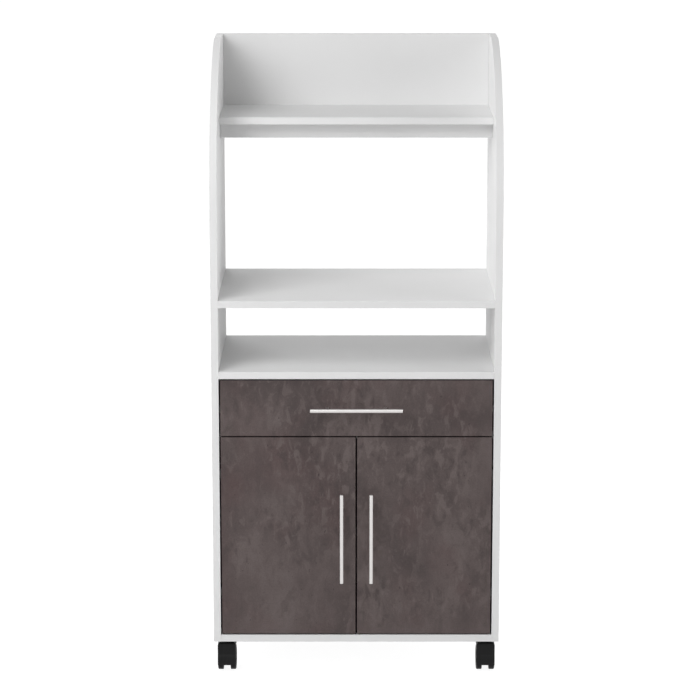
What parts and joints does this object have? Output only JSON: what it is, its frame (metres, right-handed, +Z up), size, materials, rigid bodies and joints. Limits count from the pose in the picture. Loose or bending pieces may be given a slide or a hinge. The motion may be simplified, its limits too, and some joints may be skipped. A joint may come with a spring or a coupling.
{
  "type": "kitchen trolley",
  "caption": "White kitchen trolley on hooded swivel casters, with open shelves between arched sides over a drawer and a pair of dark inset doors with bar handles.",
  "frame": {"origin": "on the floor, under the middle of the whole trolley, its handles included", "axes": "+Z up, the front with the drawer and doors towards -Y, +X to the right seen from the front"},
  "size_m": [0.64, 0.43, 1.406],
  "materials": {
    "white_board": "white melamine, satin",
    "front_decor": "dark oxide decor, matt",
    "handle_metal": "satin",
    "caster_plastic": "satin black",
    "wheel_plastic": "black nylon",
    "fitting_plastic": "black",
    "runner_plastic": "white",
    "dowel_wood": "raw beech",
    "hardboard": "white lacquered hardboard",
    "steel": "nickel plated"
  },
  "bodies": {
    "carcass": {"bottom_board": "white_board", "cabinet_back": "hardboard", "cam_bolts": "steel", "cam_discs": "steel", "caster_sockets": "fitting_plastic", "caster_stems": "steel", "cross_rail": "white_board", "dowels": "dowel_wood", "hinge_arms": "steel", "hinge_plates": "steel", "inner_shelf": "white_board", "magnet_catches": "fitting_plastic", "middle_shelf": "white_board", "runner_strip_left": "runner_plastic", "runner_strip_right": "runner_plastic", "shelf_pins": "steel", "side_panel_left": "white_board", "side_panel_right": "white_board", "top_apron": "white_board", "top_back_panel": "white_board", "top_shelf": "white_board", "worktop": "white_board"},
    "drawer": {"drawer_back": "white_board", "drawer_bottom": "hardboard", "drawer_front": "front_decor", "drawer_handle_bar": "handle_metal", "drawer_handle_posts": "handle_metal", "drawer_handle_screws": "steel", "drawer_side_left": "white_board", "drawer_side_right": "white_board"},
    "door_left": {"door_left": "front_decor", "door_left_handle_bar": "handle_metal", "door_left_handle_posts": "handle_metal", "door_left_handle_screws": "steel", "hinge_cups_left": "steel", "hinge_pins_left": "steel", "strike_plate_left": "steel"},
    "door_right": {"door_right": "front_decor", "door_right_handle_bar": "handle_metal", "door_right_handle_posts": "handle_metal", "door_right_handle_screws": "steel", "hinge_cups_right": "steel", "hinge_pins_right": "steel", "strike_plate_right": "steel"},
    "caster_front_left": {"caster_axle_front_left": "steel", "caster_hood_front_left": "caster_plastic"},
    "caster_front_right": {"caster_axle_front_right": "steel", "caster_hood_front_right": "caster_plastic"},
    "caster_rear_left": {"caster_axle_rear_left": "steel", "caster_hood_rear_left": "caster_plastic"},
    "caster_rear_right": {"caster_axle_rear_right": "steel", "caster_hood_rear_right": "caster_plastic"},
    "caster_wheel_front_left_a": {"caster_wheel_front_left_a": "wheel_plastic"},
    "caster_wheel_front_left_b": {"caster_wheel_front_left_b": "wheel_plastic"},
    "caster_wheel_front_right_a": {"caster_wheel_front_right_a": "wheel_plastic"},
    "caster_wheel_front_right_b": {"caster_wheel_front_right_b": "wheel_plastic"},
    "caster_wheel_rear_left_a": {"caster_wheel_rear_left_a": "wheel_plastic"},
    "caster_wheel_rear_left_b": {"caster_wheel_rear_left_b": "wheel_plastic"},
    "caster_wheel_rear_right_a": {"caster_wheel_rear_right_a": "wheel_plastic"},
    "caster_wheel_rear_right_b": {"caster_wheel_rear_right_b": "wheel_plastic"}
  },
  "joints": [
    {"name": "drawer_slide", "type": "slide", "parent": "carcass", "child": "drawer", "axis": [0, -1, 0], "range_m": [0, 0.28]},
    {"name": "door_left_hinge", "type": "hinge", "parent": "carcass", "child": "door_left", "pos_m": [-0.2925, -0.178, 0.3], "axis": [0, 0, -1], "range_deg": [0, 95]},
    {"name": "door_right_hinge", "type": "hinge", "parent": "carcass", "child": "door_right", "pos_m": [0.2925, -0.178, 0.3], "axis": [0, 0, 1], "range_deg": [0, 95]},
    {"name": "caster_front_left_swivel", "type": "hinge", "parent": "carcass", "child": "caster_front_left", "pos_m": [-0.292, -0.155, 0.07], "axis": [0, 0, 1], "continuous": true},
    {"name": "wheel_front_left_a_roll", "type": "hinge", "parent": "caster_front_left", "child": "caster_wheel_front_left_a", "pos_m": [-0.292, -0.141, 0.029], "axis": [1, 0, 0], "continuous": true},
    {"name": "wheel_front_left_b_roll", "type": "hinge", "parent": "caster_front_left", "child": "caster_wheel_front_left_b", "pos_m": [-0.292, -0.141, 0.029], "axis": [1, 0, 0], "continuous": true},
    {"name": "caster_front_right_swivel", "type": "hinge", "parent": "carcass", "child": "caster_front_right", "pos_m": [0.292, -0.155, 0.07], "axis": [0, 0, 1], "continuous": true},
    {"name": "wheel_front_right_a_roll", "type": "hinge", "parent": "caster_front_right", "child": "caster_wheel_front_right_a", "pos_m": [0.292, -0.141, 0.029], "axis": [1, 0, 0], "continuous": true},
    {"name": "wheel_front_right_b_roll", "type": "hinge", "parent": "caster_front_right", "child": "caster_wheel_front_right_b", "pos_m": [0.292, -0.141, 0.029], "axis": [1, 0, 0], "continuous": true},
    {"name": "caster_rear_left_swivel", "type": "hinge", "parent": "carcass", "child": "caster_rear_left", "pos_m": [-0.292, 0.171, 0.07], "axis": [0, 0, 1], "continuous": true},
    {"name": "wheel_rear_left_a_roll", "type": "hinge", "parent": "caster_rear_left", "child": "caster_wheel_rear_left_a", "pos_m": [-0.292, 0.185, 0.029], "axis": [1, 0, 0], "continuous": true},
    {"name": "wheel_rear_left_b_roll", "type": "hinge", "parent": "caster_rear_left", "child": "caster_wheel_rear_left_b", "pos_m": [-0.292, 0.185, 0.029], "axis": [1, 0, 0], "continuous": true},
    {"name": "caster_rear_right_swivel", "type": "hinge", "parent": "carcass", "child": "caster_rear_right", "pos_m": [0.292, 0.171, 0.07], "axis": [0, 0, 1], "continuous": true},
    {"name": "wheel_rear_right_a_roll", "type": "hinge", "parent": "caster_rear_right", "child": "caster_wheel_rear_right_a", "pos_m": [0.292, 0.185, 0.029], "axis": [1, 0, 0], "continuous": true},
    {"name": "wheel_rear_right_b_roll", "type": "hinge", "parent": "caster_rear_right", "child": "caster_wheel_rear_right_b", "pos_m": [0.292, 0.185, 0.029], "axis": [1, 0, 0], "continuous": true}
  ]
}
